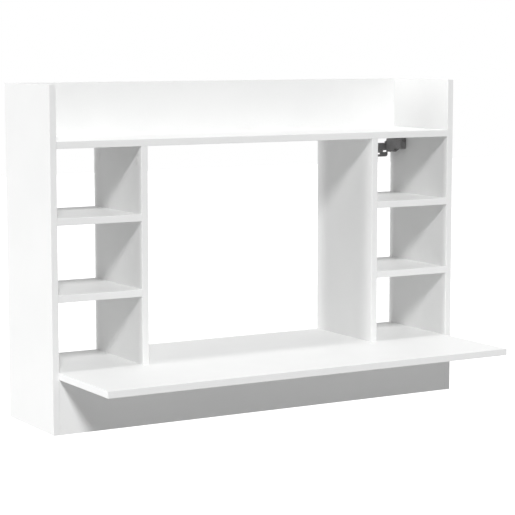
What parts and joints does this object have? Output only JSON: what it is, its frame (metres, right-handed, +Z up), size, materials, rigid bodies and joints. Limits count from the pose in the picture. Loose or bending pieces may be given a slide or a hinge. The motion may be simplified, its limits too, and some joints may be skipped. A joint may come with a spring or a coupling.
{
  "type": "wall-mounted desk",
  "caption": "Wall-mounted desk with a fixed desktop in front, open cubbies on both sides of an open middle, a top shelf with a back rail, and adjustable hangers.",
  "frame": {"origin": "centre of the base of the bounding box: on the level of the lowest edges, half way along the desk, in the plane of the case's front edges", "axes": "+X to the sitter's right along the desk, +Y from the sitter towards the wall, +Z up"},
  "size_m": [1.1, 0.5, 0.785],
  "materials": {
    "white_board": "particle board with matt white melamine faces",
    "white_edging": "satin white plastic edging, 1 mm, with rounded edges",
    "white_cap": "moulded white plastic",
    "zinc": "die-cast zinc, dull",
    "steel": "bright zinc-plated steel",
    "dark_steel": "dark grey plated steel",
    "beech": "fluted beech dowel, unfinished",
    "grey_housing": "grey coated steel sheet",
    "grey_steel": "grey coated steel plate"
  },
  "bodies": {
    "desk": {"side_panel_left": "white_board", "side_panel_right": "white_board", "top_shelf": "white_board", "back_rail": "white_board", "divider_left": "white_board", "divider_right": "white_board", "cubby_shelf_left_lower": "white_board", "cubby_shelf_left_upper": "white_board", "cubby_shelf_right_lower": "white_board", "cubby_shelf_right_upper": "white_board", "desktop": "white_board", "apron": "white_board", "side_panel_left_edging": "white_edging", "side_panel_right_edging": "white_edging", "top_shelf_edging": "white_edging", "back_rail_edging": "white_edging", "divider_left_edging": "white_edging", "divider_right_edging": "white_edging", "cubby_shelf_left_lower_edging": "white_edging", "cubby_shelf_left_upper_edging": "white_edging", "cubby_shelf_right_lower_edging": "white_edging", "cubby_shelf_right_upper_edging": "white_edging", "desktop_edging": "white_edging", "apron_edging": "white_edging", "cam_locks": "zinc", "cam_bolts": "steel", "cam_caps": "white_cap", "wooden_dowels": "beech", "long_screws": "steel", "hanger_fixing_screws": "dark_steel", "hanger_housing_left": "grey_housing", "hanger_housing_right": "grey_housing"},
    "depth_screw_left": {"depth_screw_left": "dark_steel"},
    "carriage_left": {"hanger_carriage_left": "grey_steel"},
    "height_screw_left": {"height_screw_left": "dark_steel"},
    "hook_left": {"hook_arm_left": "grey_steel", "wall_plate_left": "grey_steel"},
    "depth_screw_right": {"depth_screw_right": "dark_steel"},
    "carriage_right": {"hanger_carriage_right": "grey_steel"},
    "height_screw_right": {"height_screw_right": "dark_steel"},
    "hook_right": {"hook_arm_right": "grey_steel", "wall_plate_right": "grey_steel"}
  },
  "joints": [
    {"name": "depth_screw_turn_left", "type": "hinge", "parent": "desk", "child": "depth_screw_left", "pos_m": [-0.52765, 0.18, 0.626], "axis": [0, -1, 0], "range_deg": [0, 4500]},
    {"name": "depth_adjust_left", "type": "slide", "parent": "desk", "child": "carriage_left", "axis": [0, 1, 0], "range_m": [0, 0.01]},
    {"name": "height_screw_turn_left", "type": "hinge", "parent": "carriage_left", "child": "height_screw_left", "pos_m": [-0.52765, 0.226, 0.594], "axis": [0, 0, -1], "range_deg": [-2250, 2250]},
    {"name": "height_adjust_left", "type": "slide", "parent": "carriage_left", "child": "hook_left", "axis": [0, 0, 1], "range_m": [-0.005, 0.005]},
    {"name": "depth_screw_turn_right", "type": "hinge", "parent": "desk", "child": "depth_screw_right", "pos_m": [0.52765, 0.18, 0.626], "axis": [0, -1, 0], "range_deg": [0, 4500]},
    {"name": "depth_adjust_right", "type": "slide", "parent": "desk", "child": "carriage_right", "axis": [0, 1, 0], "range_m": [0, 0.01]},
    {"name": "height_screw_turn_right", "type": "hinge", "parent": "carriage_right", "child": "height_screw_right", "pos_m": [0.52765, 0.226, 0.594], "axis": [0, 0, -1], "range_deg": [-2250, 2250]},
    {"name": "height_adjust_right", "type": "slide", "parent": "carriage_right", "child": "hook_right", "axis": [0, 0, 1], "range_m": [-0.005, 0.005]}
  ],
  "couplings": [
    {"joint": "depth_screw_turn_left", "follows": "depth_adjust_left", "rad_per_m": 7854},
    {"joint": "height_screw_turn_left", "follows": "height_adjust_left", "rad_per_m": 7854},
    {"joint": "depth_screw_turn_right", "follows": "depth_adjust_right", "rad_per_m": 7854},
    {"joint": "height_screw_turn_right", "follows": "height_adjust_right", "rad_per_m": 7854}
  ]
}
